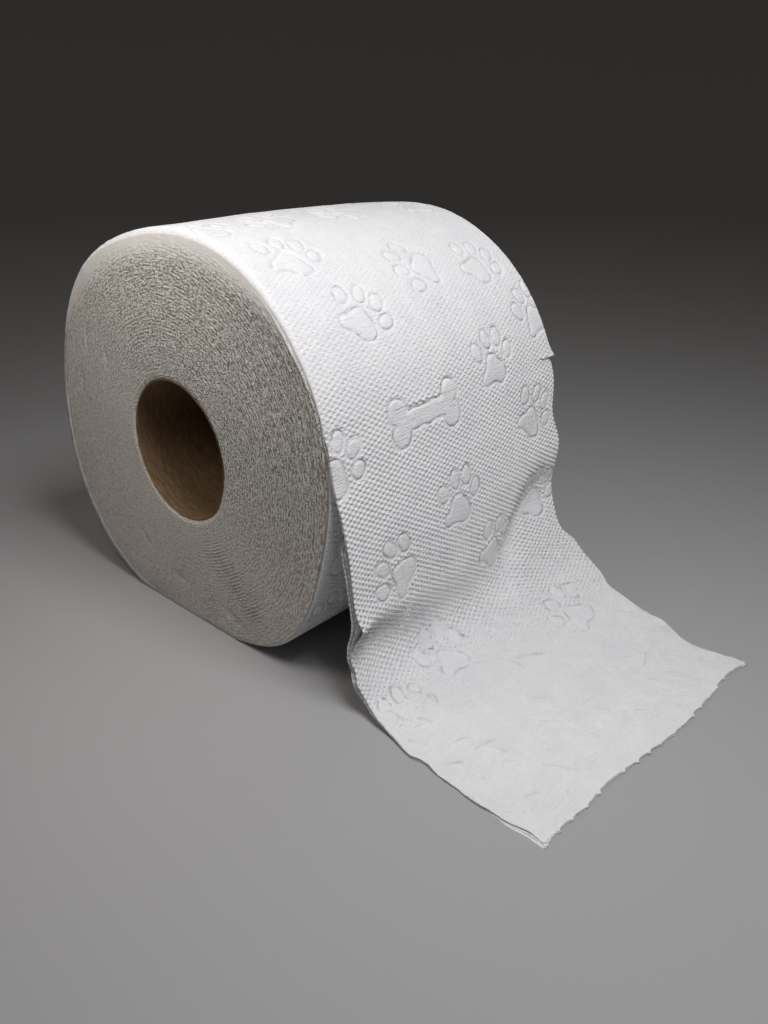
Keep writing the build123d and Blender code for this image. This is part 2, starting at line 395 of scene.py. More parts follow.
def slab(name, outer, inner, rows, cols, material, uv, emboss):
    """A closed piece: a finely modelled outer face, its edge walls, and an
    inner face on the sparser rows and cols.  outer and inner are (ns, nx, 3)."""
    ns, nx = outer.shape[:2]
    rows, cols = sorted(set(rows) | {0, ns - 1}), sorted(set(cols) | {0, nx - 1})
    use = np.zeros((ns, nx), bool)
    use[[0, -1], :] = use[:, [0, -1]] = True
    use[np.ix_(rows, cols)] = True
    idx = np.full((ns, nx), -1)
    idx[use] = ns * nx + np.arange(use.sum())
    grid = np.arange(ns * nx).reshape(ns, nx)
    quads = np.stack([grid[:-1, :-1], grid[:-1, 1:], grid[1:, 1:], grid[1:, :-1]], -1).reshape(-1, 4)
    edge = ([(0, j) for j in range(nx)] + [(i, nx - 1) for i in range(1, ns)]
            + [(ns - 1, j) for j in range(nx - 2, -1, -1)] + [(i, 0) for i in range(ns - 2, 0, -1)])
    e = np.array(edge)
    o, q = grid[e[:, 0], e[:, 1]], idx[e[:, 0], e[:, 1]]
    wall = np.stack([np.roll(o, -1), o, q, np.roll(q, -1)], -1)
    cells = []
    for i0, i1 in zip(rows, rows[1:]):
        for j0, j1 in zip(cols, cols[1:]):
            path = [(i0, j) for j in (range(j0, j1 + 1) if i0 == 0 else (j0, j1))]
            path += [(i, j1) for i in (range(i0 + 1, i1 + 1) if j1 == nx - 1 else (i1,))]
            path += [(i1, j) for j in (range(j1 - 1, j0 - 1, -1) if i1 == ns - 1 else (j0,))]
            path += [(i, j0) for i in (range(i1 - 1, i0, -1) if j0 == 0 else ())]
            cells.append(tuple(int(idx[p]) for p in path[::-1]))
    verts = np.concatenate([outer.reshape(-1, 3), inner[use]])
    smooth = np.concatenate([np.ones(len(quads)), np.zeros(len(wall)), np.ones(len(cells))])
    return new_object(name, verts, [quads, wall, *cells], smooth, material,
                      np.concatenate([uv.reshape(-1, 2), uv[use]]),
                      np.concatenate([emboss.reshape(-1, 2), emboss[use] * (0, 1)]))


def rings(name, loops_, material, uv, emboss=None, sharp=()):
    """A closed ring-shaped piece from loops of points, joined one to the next
    and the last to the first.  loops_ is (n, m, 3)."""
    n, m = loops_.shape[:2]
    i, j = np.meshgrid(np.arange(n), np.arange(m), indexing="ij")
    i1, j1 = (i + 1) % n, (j + 1) % m
    quads = np.stack([i * m + j, i1 * m + j, i1 * m + j1, i * m + j1], -1).reshape(-1, 4)
    smooth = np.ones((n, m))
    for k in sharp:
        smooth[k] = 0
    return new_object(name, loops_.reshape(-1, 3), [quads], smooth.ravel(), material, uv.reshape(-1, 2),
                      None if emboss is None else emboss.reshape(-1, 2))


# ---------------------------------------------------------------- materials
def material(name):
    m = bpy.data.materials.new(name)
    m.use_nodes = True
    return m, m.node_tree.nodes, m.node_tree.links, m.node_tree.nodes["Principled BSDF"]


def node(nodes, kind, **values):
    n = nodes.new(kind)
    for k, v in values.items():
        if k in n.inputs:
            n.inputs[k].default_value = v
        else:
            setattr(n, k, v)
    return n


def scaled(nodes, links, source, scale):
    n = nodes.new("ShaderNodeMapping")
    n.inputs["Scale"].default_value = scale
    links.new(source, n.inputs["Vector"])
    return n.outputs["Vector"]


def noise_node(nodes, links, vector, scale, detail=2.0, rough=0.5):
    n = nodes.new("ShaderNodeTexNoise")
    n.inputs["Scale"].default_value = scale
    n.inputs["Detail"].default_value = detail
    n.inputs["Roughness"].default_value = rough
    links.new(vector, n.inputs["Vector"])
    return n.outputs["Fac"]


def mix_colour(nodes, links, fac, a, b, low=0.35, high=0.65):
    ramp = nodes.new("ShaderNodeValToRGB")
    ramp.color_ramp.elements[0].position, ramp.color_ramp.elements[1].position = low, high
    ramp.color_ramp.elements[0].color = (*a, 1)
    ramp.color_ramp.elements[1].color = (*b, 1)
    links.new(fac, ramp.inputs["Fac"])
    return ramp.outputs["Color"]


def calc(nodes, links, operation, *values):
    """A maths node whose inputs are sockets or numbers."""
    n = nodes.new("ShaderNodeMath")
    n.operation = operation
    for k, v in enumerate(values):
        if isinstance(v, (int, float)):
            n.inputs[k].default_value = v
        else:
            links.new(v, n.inputs[k])
    return n.outputs[0]


def add_bump(nodes, links, bsdf, layers):
    """layers: (height socket, distance in metres, strength)"""
    last = None
    for height, distance, strength in layers:
        n = nodes.new("ShaderNodeBump")
        n.inputs["Distance"].default_value = distance
        n.inputs["Strength"].default_value = strength
        links.new(height, n.inputs["Height"])
        if last is not None:
            links.new(last, n.inputs["Normal"])
        last = n.outputs["Normal"]
    links.new(last, bsdf.inputs["Normal"])


def tissue_material():
    m, nodes, links, bsdf = material("tissue")
    place = nodes.new("ShaderNodeTexCoord").outputs["Object"]
    web = nodes.new("ShaderNodeUVMap")
    web.uv_map = "web"
    cloud = noise_node(nodes, links, place, 110.0, 6.0, 0.8)
    colour = mix_colour(nodes, links, cloud, (0.84, 0.845, 0.862), (0.925, 0.925, 0.93), 0.34, 0.66)
    bsdf.inputs["Roughness"].default_value = 0.95
    bsdf.inputs["Specular IOR Level"].default_value = 0.2
    bsdf.inputs["Sheen Weight"].default_value = 0.15
    bsdf.inputs["Sheen Roughness"].default_value = 0.6
    # the fine embossing: a lattice of small bumps, and the motifs' pressed lines
    at = node(nodes, "ShaderNodeSeparateXYZ")
    links.new(web.outputs["UV"], at.inputs[0])
    mark = nodes.new("ShaderNodeUVMap")
    mark.uv_map = "emboss"
    has = node(nodes, "ShaderNodeSeparateXYZ")
    links.new(mark.outputs["UV"], has.inputs[0])
    x, s = at.outputs["X"], at.outputs["Y"]              # in units of 100 mm
    two_pi = 2 * math.pi
    across = calc(nodes, links, "MULTIPLY", x, two_pi * 100 / 2.6)
    along = calc(nodes, links, "MULTIPLY", s, two_pi * 100 / 1.5)
    waves = [calc(nodes, links, "COSINE", calc(nodes, links, "ADD", across, along)),
             calc(nodes, links, "COSINE", calc(nodes, links, "SUBTRACT", across, along)),
             calc(nodes, links, "COSINE", calc(nodes, links, "MULTIPLY", x, two_pi * 100 / 1.3))]
    total = calc(nodes, links, "ADD", calc(nodes, links, "ADD", waves[0], waves[1]), waves[2])
    dot = calc(nodes, links, "MULTIPLY_ADD", total, 1 / 4.5, 1.5 / 4.5)
    away = calc(nodes, links, "MULTIPLY_ADD", has.outputs["Y"], 10.0, -5.0)     # mm to a motif
    plain = node(nodes, "ShaderNodeMapRange", interpolation_type="SMOOTHSTEP")
    plain.inputs["From Min"].default_value, plain.inputs["From Max"].default_value = 0.3, 1.0
    links.new(away, plain.inputs["Value"])
    dots = calc(nodes, links, "MULTIPLY", calc(nodes, links, "MULTIPLY", dot, has.outputs["X"]),
                plain.outputs["Result"])
    thin = calc(nodes, links, "MULTIPLY", calc(nodes, links, "MULTIPLY", away, away), -1 / 0.26**2)
    line = calc(nodes, links, "EXPONENT", thin)
    uneven = node(nodes, "ShaderNodeMapRange")
    uneven.inputs["From Min"].default_value, uneven.inputs["From Max"].default_value = 0.38, 0.62
    uneven.inputs["To Min"].default_value, uneven.inputs["To Max"].default_value = -0.12, -0.62
    links.new(noise_node(nodes, links, place, 380.0, 1.0), uneven.inputs["Value"])
    share = calc(nodes, links, "MINIMUM", calc(nodes, links, "MULTIPLY_ADD", has.outputs["X"], 2.1, 0.28), 1.3)
    pressed = calc(nodes, links, "MULTIPLY", calc(nodes, links, "MULTIPLY", line, uneven.outputs["Result"]), share)
    emboss = calc(nodes, links, "ADD", dots, pressed)
    # the pressed lines, and the creases' lines, are painted darker: painted shade in their grooves
    painted_groove_shade = nodes.new("ShaderNodeMix")
    painted_groove_shade.data_type = "RGBA"
    links.new(calc(nodes, links, "MULTIPLY", calc(nodes, links, "MULTIPLY", line, uneven.outputs["Result"]), -0.6),
              painted_groove_shade.inputs[0])
    links.new(colour, painted_groove_shade.inputs[6])
    painted_groove_shade.inputs[7].default_value = (0.56, 0.56, 0.585, 1)
    links.new(painted_groove_shade.outputs[2], bsdf.inputs["Base Color"])
    # fibres, and the fine crepe that runs across the web
    fibre = noise_node(nodes, links, place, 1900.0, 3.0, 0.65)
    crepe = noise_node(nodes, links, scaled(nodes, links, web.outputs["UV"], (30.0, 190.0, 1.0)), 1.0, 3.0, 0.6)
    add_bump(nodes, links, bsdf, [(emboss, 0.00055, 1.0), (crepe, 0.0004, 0.8), (fibre, 0.00026, 0.8)])
    return m


def wound_end_material():
    m, nodes, links, bsdf = material("wound_tissue_edges")
    place = nodes.new("ShaderNodeTexCoord").outputs["Object"]
    web = nodes.new("ShaderNodeUVMap")
    web.uv_map = "web"
    # how far out, and the direction from the core's axis: lines that run round
    deep = nodes.new("ShaderNodeSeparateXYZ")
    links.new(web.outputs["UV"], deep.inputs[0])
    centred = nodes.new("ShaderNodeVectorMath")
    centred.operation = "SUBTRACT"
    centred.inputs[1].default_value = (0, 0, AXIS_Z * 0.001)
    links.new(place, centred.inputs[0])
    flat = nodes.new("ShaderNodeVectorMath")
    flat.operation = "MULTIPLY"
    flat.inputs[1].default_value = (0, 1, 1)
    links.new(centred.outputs[0], flat.inputs[0])
    way = nodes.new("ShaderNodeVectorMath")
    way.operation = "NORMALIZE"
    links.new(flat.outputs[0], way.inputs[0])
    wide = nodes.new("ShaderNodeVectorMath")
    wide.operation = "SCALE"
    wide.inputs["Scale"].default_value = 44.0
    links.new(way.outputs[0], wide.inputs[0])
    out = nodes.new("ShaderNodeMath")
    out.operation = "MULTIPLY"
    out.inputs[1].default_value = 235.0
    links.new(deep.outputs["Y"], out.inputs[0])
    both = nodes.new("ShaderNodeCombineXYZ")
    links.new(out.outputs[0], both.inputs["X"])
    split = nodes.new("ShaderNodeSeparateXYZ")
    links.new(wide.outputs[0], split.inputs[0])
    links.new(split.outputs["Y"], both.inputs["Y"])
    links.new(split.outputs["Z"], both.inputs["Z"])
    lines = noise_node(nodes, links, both.outputs[0], 1.0, 2.0, 0.6)
    # the grain is strongest on the upper front half, where the colour is also painted bright, painted light; lower
    # down and round the back it turns to a darker even colour, painted shade
    lean = nodes.new("ShaderNodeVectorMath")
    lean.operation = "DOT_PRODUCT"
    lean.inputs[1].default_value = (0, -0.57, 0.82)
    links.new(way.outputs[0], lean.inputs[0])
    upper_front = node(nodes, "ShaderNodeMapRange", interpolation_type="SMOOTHSTEP")
    upper_front.inputs["From Min"].default_value, upper_front.inputs["From Max"].default_value = -0.45, 0.8
    upper_front.inputs["To Min"].default_value, upper_front.inputs["To Max"].default_value = 0.40, 1.0
    links.new(lean.outputs["Value"], upper_front.inputs["Value"])
    rough = noise_node(nodes, links, place, 2300.0, 2.0, 0.6)
    specks = noise_node(nodes, links, place, 3500.0, 1.0, 0.5)
    coarse = calc(nodes, links, "MULTIPLY_ADD", rough, 0.5, lines)
    both_ways = calc(nodes, links, "MULTIPLY_ADD", specks, 0.45, coarse)
    mark = nodes.new("ShaderNodeUVMap")
    mark.uv_map = "emboss"
    inside = node(nodes, "ShaderNodeSeparateXYZ")
    links.new(mark.outputs["UV"], inside.inputs[0])
    amount = calc(nodes, links, "MULTIPLY", upper_front.outputs["Result"], inside.outputs["X"])
    grain = calc(nodes, links, "MULTIPLY", both_ways, amount)
    # lit: the grain, with the painted shade of the ridges and of the parted turns
    lit = calc(nodes, links, "MULTIPLY_ADD", inside.outputs["Y"], 0.30, both_ways)
    shade = mix_colour(nodes, links, calc(nodes, links, "MULTIPLY", lit, 0.5), (0.37, 0.325, 0.275),
                       (1.0, 0.965, 0.92), 0.514, 0.588)
    # the darker even colour low down and at the back is painted shade; the bright grain colour on the upper front is
    # painted light
    painted_light_and_shade = nodes.new("ShaderNodeMix")
    painted_light_and_shade.data_type = "RGBA"
    painted_light_and_shade.inputs[6].default_value = (0.66, 0.595, 0.555, 1)
    links.new(upper_front.outputs["Result"], painted_light_and_shade.inputs[0])
    links.new(shade, painted_light_and_shade.inputs[7])
    at_rim = nodes.new("ShaderNodeMix")
    at_rim.data_type = "RGBA"
    at_rim.inputs[6].default_value = (0.72, 0.695, 0.67, 1)
    links.new(inside.outputs["X"], at_rim.inputs[0])
    links.new(painted_light_and_shade.outputs[2], at_rim.inputs[7])
    links.new(at_rim.outputs[2], bsdf.inputs["Base Color"])
    bsdf.inputs["Roughness"].default_value = 0.97
    bsdf.inputs["Specular IOR Level"].default_value = 0.12
    add_bump(nodes, links, bsdf, [(grain, 0.0013, 1.0)])
    return m


def cardboard_material():
    m, nodes, links, bsdf = material("cardboard")
    place = nodes.new("ShaderNodeTexCoord").outputs["Object"]
    web = nodes.new("ShaderNodeUVMap")
    web.uv_map = "web"
    streak = noise_node(nodes, links, scaled(nodes, links, web.outputs["UV"], (25.0, 110.0, 1.0)), 1.0, 4.0, 0.65)
    # the board's brown, darkened further to stand in for the shade inside the core: partly its own colour, partly
    # painted shade
    colour = mix_colour(nodes, links, streak, (0.115, 0.067, 0.031), (0.25, 0.16, 0.085), 0.3, 0.7)
    links.new(colour, bsdf.inputs["Base Color"])
    bsdf.inputs["Roughness"].default_value = 0.85
    bsdf.inputs["Specular IOR Level"].default_value = 0.3
    fibre = noise_node(nodes, links, place, 1600.0, 3.0, 0.6)
    add_bump(nodes, links, bsdf, [(streak, 0.0002, 0.4), (fibre, 0.0001, 0.5)])
    return m


tissue, wound_end, cardboard = tissue_material(), wound_end_material(), cardboard_material()


def settle(ob, slot_name, *nodes):
    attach(ob, "root")
    if nodes:
        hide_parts(*nodes)
    return ob


# ------------------------------------------------------- the wound roll's skin
def degrees_at(s):
    """The direction from the core's axis, -90 to 270: 0 back, 90 up, 180 front."""
    p, _ = roll_at(s)
    return (np.degrees(np.arctan2(p[..., 1] - AXIS_Z, p[..., 0])) + 90) % 360 - 90


def rim_size(s):
    """How far the rim is rounded at s: along the axis, and inwards."""
    deg = degrees_at(s)
    soft = step(15, 60, deg) * (1 - step(112, 160, deg))
    return 0.7 + 1.5 * soft, 0.3 + 1.9 * soft


def rim_draw(s):
    """How far the soft end is drawn in at its rim, most at the top."""
    deg = degrees_at(s)
    return 0.1 + 0.5 * step(0, 60, deg) * (1 - step(105, 165, deg))


# The soft roll isn't quite as thick all along its axis: how far it swells
# towards each end, against the degrees round it.
swell_left = cubic([-90, -60, -30, 0, 20, 40, 55, 70, 90, 110, 130, 150, 190, 270],
                   [0.0, 1.3, 1.2, 1.15, 1.3, 1.9, 0.9, -0.8, -1.3, -0.6, 0.0, 0.0, 0.0, 0.0])
swell_right = cubic([-90, -40, 0, 25, 45, 65, 88, 110, 130, 150, 190, 270],
                    [0.0, 0.0, 0.0, 0.0, 0.0, -0.3, -0.7, -0.3, 0.0, 0.0, 0.0, 0.0])


def rim_wave(s, side):
    """The cut rim isn't quite straight."""
    c = np.mod(c_perf + s, ROUND) * 2 * np.pi / ROUND
    px, py = 63 * np.cos(c), 63 * np.sin(c)
    return side * (0.16 * fractal(px, py, 14, 14, 71 + side) + 0.08 * noise2(px, py, 2.2, 2.2, 77 + side))


EDGE = np.array([0.0, 0.03, 0.13, 0.3, 0.55, 0.9, 1.3, 1.75, 2.2])


def columns(step_x):
    n = int((HALF - 2.45) / step_x)
    inner = np.arange(-n, n + 1) * step_x
    return np.concatenate([-HALF + EDGE, inner, (HALF - EDGE)[::-1]])


def skin_point(x, s, extra=0.0):
    """A point of the outer turn: x across, s along, extra over the surface."""
    p, n = roll_at(s)
    a, b = rim_size(s)
    side = np.sign(x)
    dx = np.clip((HALF - np.abs(x)) / a, 0, 1)
    drop = b * (1 - np.sqrt(np.clip(1 - (0.95 * (1 - dx)) ** 2, 0, 1)))
    near = 1 - step(0, 6, HALF - np.abs(x))
    wave = rim_wave(s, 1) * (side > 0) + rim_wave(s, -1) * (side < 0) - side * rim_draw(s)
    deg = degrees_at(s)
    long_ = 14.0 + 16.0 * step(45, 75, deg)
    h = extra - drop + swell_left(deg) * bell(HALF + x, long_) + swell_right(deg) * bell(HALF - x, 13.0)
    q = p + n * np.asarray(h)[..., None]
    return np.stack([x + near * wave, q[..., 0], q[..., 1]], -1)


def perforation(x, s):
    """The row of small cuts across the web, and how the paper lifts there."""
    bond = (np.mod(x + 2.6, 5.2) < 1.1)
    open_ = np.maximum(bell(x + 13, 10), 0.7 * bell(x + 45.5, 3.5))
    cut = np.where(bond, 0.0, 0.02 + 0.16 * open_ + 0.03 * noise2(x, 0 * x, 6, 1, 91))
    lift = 0.30 * bell(x + 13, 9) + 0.10 * bell(x + 45, 4)
    return np.where(s <= 0, lift * np.exp(np.minimum(s, 0) / 1.2), -0.03 * bell(s, 1.0) * open_) - cut * bell(s, 0.12)


def skin_height(x, s, dots=1.0, motifs=1.0, in_bump=0.0):
    h, marks = relief(x, s, dots, motifs, in_bump)
    h = h + 0.10 * fractal(x, s, 26, 20, 61)
    a, _ = rim_size(s)
    near = step(0.1, 1.1, (HALF - np.abs(x)) / a)
    marks[..., 0] *= near
    return h * (0.2 + 0.8 * near), marks


def skin(name, s0, s1, step_x, step_s, extra_rows=(), first=False):
    xs = columns(step_x)
    n = int(round((s1 - s0) / step_s))
    ss = np.unique(np.round(np.concatenate([np.linspace(s0, s1, n + 1), extra_rows]), 5))
    x, s = np.meshgrid(xs, ss)
    p, _ = roll_at(ss)
    resting = 1 - step(0.0, 1.2, p[:, 1])                      # pressed flat underneath
    h, marks = skin_height(x, s, (dot_strength(ss) * (1 - 0.8 * resting))[:, None], (1 - 0.8 * resting)[:, None],
                           0.0 if step_x < 0.5 else 1.0)
    h = h * (1 - resting)[:, None]
    if first:
        h = h + perforation(x, s)
        corner = bell(HALF - x, 5.0) * np.exp(np.minimum(s, 0) / 3.0)
        h = h + 0.9 * corner
    below = step(-ROUND + 22, -ROUND + 6, s)                   # the turn under the loose sheet
    h = h * (1 - below) - 0.55 * below
    outer = skin_point(x, s, h)
    if first:
        outer[..., 0] += 1.5 * corner * step(HALF - 4, HALF, x)
    outer[..., 2] = np.maximum(outer[..., 2], 0.0)
    inner = skin_point(np.clip(x, -HALF + 0.6, HALF - 0.6), s, -3.0 + 0 * x)
    rows = list(range(0, len(ss), 6))
    ob = slab(name, outer, inner, rows, [0, len(xs) - 1], tissue, np.stack([x, s], -1), marks)
    return settle(ob, "tissue", "paper_roll")


fine = 1.3 / 3
skin("outer_turn_front", -124.5, 0.0, fine, 0.375, (-0.19, -0.09, -0.04), True)
half_way = -(124.5 + (ROUND - 124.5) / 2)
skin("outer_turn_back", half_way, -124.5, 0.8, 0.5)
skin("outer_turn_under", -ROUND, half_way, 0.8, 0.5)


# --------------------------------------------------------- the wound end faces
def end_face(name, side, n_rings, n_round, depth=5.0):
    s = -np.arange(n_round) / n_round * ROUND
    ring_edge = skin_point(np.full(n_round, side * HALF), s)
    far = ring_edge[:, 1:]
    far[:, 1] = np.maximum(far[:, 1], 0.0)
    ang = np.arctan2(far[:, 1] - AXIS_Z, far[:, 0])
    near = np.stack([bore_r(ang) * np.cos(ang), AXIS_Z + bore_r(ang) * np.sin(ang)], 1)
    v = np.linspace(0, 1, n_rings)[:, None]
    pos = near[None] * (1 - v[..., None]) + far[None] * v[..., None]
    width = np.hypot(*(far - near).T)[None]
    around = np.mod(-s, ROUND)[None] / ROUND + 0 * v            # 0 to 1 once round
    deep = v * width                                           # mm out from the hole
    # the edges of the turns: ridges wound as a spiral, broken up into short
    # runs, strongest on the upper front half
    turn = deep / 1.02 + (s / ROUND)[None] + 0.12 * noise2(around * 50, deep, 1, 5, 103, 50)
    ridge = np.cos(2 * np.pi * turn)
    y, z = pos[..., 0], pos[..., 1] - AXIS_Z
    toward = (-0.57 * y + 0.82 * z) / (np.hypot(y, z) + 1e-9)
    upper_front = 0.3 + 0.25 * step(-0.5, 0.1, toward) + 0.6 * step(0.1, 0.9, toward)
    patchy = upper_front * (0.75 + 0.5 * fractal(y, z, 9, 9, 101 + side))
    broken = 0.5 + 1.1 * noise2(around * 260, deep, 1, 0.9, 104 + side, 260)
    grain = (noise2(around * 190, deep, 1, 0.5, 105 + side, 190)
             + 0.6 * noise2(around * 400, deep, 1, 0.4, 107 + side, 400))
    edge = (1 - v) * width
    inside = step(0.1, 0.9 + 8.0 * (rim_size(s)[1] - 0.3) / 1.9, edge)
    # low down there are patches where the turns stand apart; they are also painted dark between the turns, painted
    # shade
    apart = sum(np.exp(-((y - py) / 4.5) ** 2 - ((z - pz) / 4.5) ** 2) for py, pz in END_PATCHES)
    apart = np.clip(apart * (0.6 + 0.8 * fractal(y, z, 5, 5, 117 + side)), 0, 1)
    h = (0.10 * ridge * broken + 0.10 * grain) * patchy * (0.15 + 0.85 * inside) + 0.22 * apart * ridge
    # the last turns stand proud on the front, and here and there lies a dent
    deg = degrees_at(s)[None]
    proud = step(120, 150, deg) * (1 - step(188, 210, deg))
    for back, up in ((1.3, 0.30), (2.9, 0.22), (4.6, 0.16)):
        h = h + up * proud * bell(edge - back - 0.25 * noise2(around * 30, 0 * v, 1, 1, 109, 30), 0.33)
    for dent_y, dent_z, long_, wide, pit, lean in END_DENTS:
        c, q = math.cos(lean), math.sin(lean)
        u1, u2 = (y - dent_y) * c + (z - dent_z) * q, -(y - dent_y) * q + (z - dent_z) * c
        h = h - pit * np.exp(-(u1 / long_) ** 2 - (u2 / wide) ** 2)
    # low at the back the last turn stands a little off the others
    h = h - 0.5 * step(-80, -62, deg) * (1 - step(-5, 25, deg)) * bell(edge - 1.5, 0.6)
    # slow unevenness, and a soft roll-over at the hole
    h = h * step(0.0, 0.6, edge)
    h = h + 0.35 * fractal(y, z, 30, 30, 111 + side, 2) * step(0.0, 9.0, edge)
    h = h - 0.5 * bell(deep, 0.7)
    x = (side * (HALF + h) + rim_wave(s, side)[None] * bell(edge, 4.0)
         - side * rim_draw(s)[None] * (0.5 * bell(edge, 15.0) + 0.5 * np.exp(-edge / 1.3)))
    front = np.stack([x, pos[..., 0], pos[..., 1]], -1)
    back_far = np.stack([np.full(n_round, side * (HALF - depth)), far[:, 0], far[:, 1]], -1)
    back_near = np.stack([np.full(n_round, side * (HALF - depth)), near[:, 0], near[:, 1]], -1)
    stack = np.concatenate([front, back_far[None], back_near[None]])
    uv = np.stack([around * 100, deep], -1)
    uv = np.concatenate([uv, uv[-1:], uv[:1]])
    # the ridges and the parted patches go into the colour as well: darker in the valleys and between the turns,
    # painted shade
    ridge_painted_shade = ridge * broken * (1 + 1.6 * apart) - 0.5 * apart
    fade = np.stack([inside, 0.5 + 0.4 * np.clip(ridge_painted_shade, -1.2, 1.2)], -1)
    fade = np.concatenate([fade, fade[-1:], fade[:1]])
    ob = rings(name, stack, wound_end, uv, fade, sharp=(n_rings - 1, n_rings, n_rings + 1))
    return settle(ob, "tissue", "paper_roll")


END_PATCHES = [(14.4, -46.3), (-14.0, -29.0), (-17.5, -31.5), (-24.0, -35.0), (-28.0, -38.5), (-30.5, -41.0),
               (-8.0, -46.0), (3.0, -38.0)]

# (y, z from the axis, half length, half width, depth, lean)
END_DENTS = [(43.0, 26.0, 3.2, 0.7, 0.7, 1.75), (33.0, 21.5, 2.6, 0.8, 0.6, 1.65),
             (50.0, 12.0, 3.0, 1.2, 0.4, 1.6), (-20.0, -48.0, 4.0, 1.3, 0.5, 0.4),
             (6.0, -44.0, 3.2, 1.0, 0.4, 0.2), (24.0, -36.0, 3.0, 1.0, 0.35, 0.9)]


def bore_r(ang):
    """The hole isn't quite round: one soft corner low at the front."""
    deg = np.degrees(ang) % 360
    return BORE_R + 0.5 * bell(deg - 222, 16) + 0.12 * np.cos(2 * ang + 0.6)


end_face("wound_edges_left", -1, 148, 640)
end_face("wound_edges_right", 1, 90, 420)

# -------------------------------------------------------------- cardboard core
def core_tube():
    n, half = 176, 48.2
    ang = np.arange(n) / n * 2 * np.pi
    xs = np.concatenate([[-half, -half + 0.12, -half + 0.4, -half + 1.0],
                         np.linspace(-half + 2, half - 2, 40),
                         [half - 1.0, half - 0.4, half - 0.12, half]])
    soft = np.array([0.12, 0.04, 0, 0] + [0] * 40 + [0, 0, 0.04, 0.12])
    grow = bore_r(ang) - BORE_R

    def tube(r, k, inward):
        x, a = np.meshgrid(xs, ang, indexing="ij")
        seam = np.mod(a / (2 * np.pi) - x / 82.0, 1.0)
        ply = 0.10 * (step(0.0, 0.012, seam) - seam) * k
        rr = r + grow[None] * (0.4 + 0.6 * np.abs(x) / half) + ply + inward * soft[:, None]
        rr = rr + 0.05 * noise2(x, a * 20, 12, 9, 131)
        rag = 0.10 * noise2(a * 20, 0 * a, 0.8, 1, 133) * (np.abs(x) > half - 0.05) * -np.sign(x)
        return np.stack([x + rag, rr * np.cos(a), AXIS_Z + rr * np.sin(a)], -1), np.stack([a * 21, x], -1)
    out, uv1 = tube(BORE_R - 0.12, 0.0, -1)
    inn, uv2 = tube(BORE_R - 0.55, 1.0, 1)
    ob = rings("core_tube", np.concatenate([out, inn[::-1]]), cardboard,
               np.concatenate([uv1, uv2[::-1]]), sharp=(len(xs) - 1, 2 * len(xs) - 1))
    return settle(ob, "cardboard", "cardboard_core")


core_tube()


# ------------------------------------------------------------- the loose plies
lift_edge = cubic([0, 6, 13, 19, 23.5, 31, 36.5, 44.5, 48, 50, 52, 56.7, 61, 65, 72, 85, 100, 131],
                  [0, .4, .2, .7, .7, .9, 1.1, 1.2, 1.9, 2.9, 2.4, 1.4, .9, 1.3, .8, .3, .15, .1])
low_edge = cubic([0, 14, 20, 31, 41, 47, 55, 62, 66, 72, 80, 100, 131],
                 [0, .1, .9, 1.4, .8, .6, .6, .5, .2, .2, .1, .0, .0])

right_edge = cubic([0, 5, 12, 19, 26.5, 34, 40, 47, 55, 60, 64, 66, 69, 74, 80, 84, 88, 98, 103, 106, 108, 111,
                    114, 118, 122, 126, 131],
                   [0.3, 0.6, 0.1, -0.8, 0.9, 0.9, 1.8, 1.5, 0.2, -0.2, 0.4, 0.0, -0.7, -0.4, 0.1, -0.6, 0.0, 0.3,
                    1.1, 0.6, -0.3, -1.7, -2.4, -2.7, -2.0, -1.3, -0.5])
# where the sheet is drawn in most, above its bend
tuck_line = cubic([-48.5, -40, -25, 0, 12, 22, 30, 38, 48.5], [60.5, 61.5, 65, 66, 64, 57.5, 48, 43.5, 42.5])
# how far the left edge swings out, and how far the torn end reaches over the
# plain sheet's length
left_edge = cubic([0, 20, 40, 52, 57, 61, 64.5, 66, 69, 73, 77, 84, 89, 92, 95, 99, 107, 112, 117, 122, 126, 131],
                  [0, 0, 0, 0, 0, 0.0, -0.3, 0.2, 0.1, -0.5, -0.3, -0.6, 0, 0.1, -0.6, -0.2, -0.1, 0.2, -0.3, -0.6,
                   -1.3, -0.7])
end_line = cubic([-48.5, -44, -32, -20, -14, -8, 1, 7, 13, 19, 25, 31, 37, 43, 48.5],
                 [0.0, 0.1, 0.9, 0.8, 1.5, 2.2, 3.0, 3.2, 3.1, 2.4, 2.1, 1.2, 0.1, 0.3, 0.7])

# short creases: (x, s) of the two ends, height, width
CREASES = [
    (-9.2, 67.7, -6.2, 73.0, 0.8, 0.45), (-0.2, 86.3, 6.8, 89.7, 0.8, 0.45),
    (-32.5, 101, -30.5, 107.7, 0.7, 0.45), (-9.8, 98.3, -5.2, 103.7, 0.7, 0.45),
    (20.8, 89, 23.5, 91, 0.7, 0.45), (32.8, 75, 38.2, 77.7, 0.8, 0.45),
    (25.5, 113, 31.5, 109.7, 0.6, 0.45), (-24.0, 47.0, -27.5, 63.0, 0.4, 0.6),
    (-44.0, 78.0, -41.0, 84.0, 0.6, 0.45), (-46.0, 88.0, -42.5, 92.0, 0.6, 0.45),
]


_w = np.random.default_rng(23)
for _ in range(110):
    wx, ws, lie = _w.uniform(-45, 45), _w.uniform(72, 127), _w.normal(0.7, 0.4)
    half_l = _w.uniform(1.2, 4.0)
    CREASES.append((wx - half_l * math.cos(lie), ws - half_l * math.sin(lie),
                    wx + half_l * math.cos(lie), ws + half_l * math.sin(lie),
                    _w.uniform(0.16, 0.5) * _w.choice((-1, 1)), _w.uniform(0.35, 0.65)))


